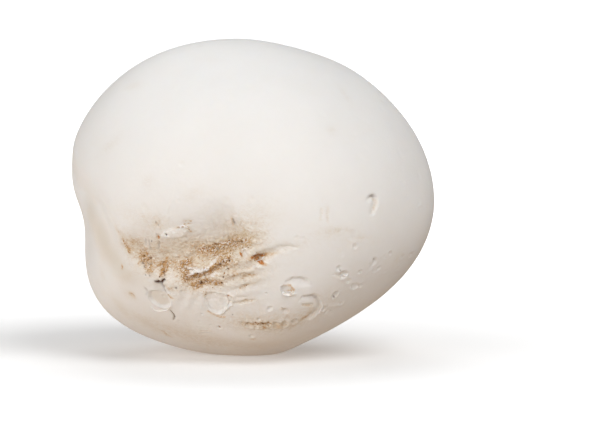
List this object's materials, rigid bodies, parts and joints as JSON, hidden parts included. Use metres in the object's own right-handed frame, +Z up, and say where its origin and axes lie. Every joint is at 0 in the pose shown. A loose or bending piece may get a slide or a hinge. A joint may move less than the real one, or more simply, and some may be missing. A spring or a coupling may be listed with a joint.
{
  "type": "giant puffball",
  "caption": "Fruiting body of a giant puffball: a lopsided, smooth white ball with a folded, scarred base turned to the front, lying on a small flat spot.",
  "frame": {"origin": "middle of the small flat spot that the ball rests on", "axes": "+Z up, +X to the right and +Y away from the viewer as the picture shows it; the torn base faces -Y, low and to the left, and the crown faces +Y"},
  "size_m": [0.1907, 0.1602, 0.1653],
  "materials": {
    "peridium": "matt, soft and kid-leather like; warm white, stained brown with soil in the folds of the base",
    "soil": "dull; dry brown crumbs of woodland soil that stick in the folds of the base"
  },
  "bodies": {
    "root": {"fruiting_body": "peridium"}
  },
  "joints": []
}
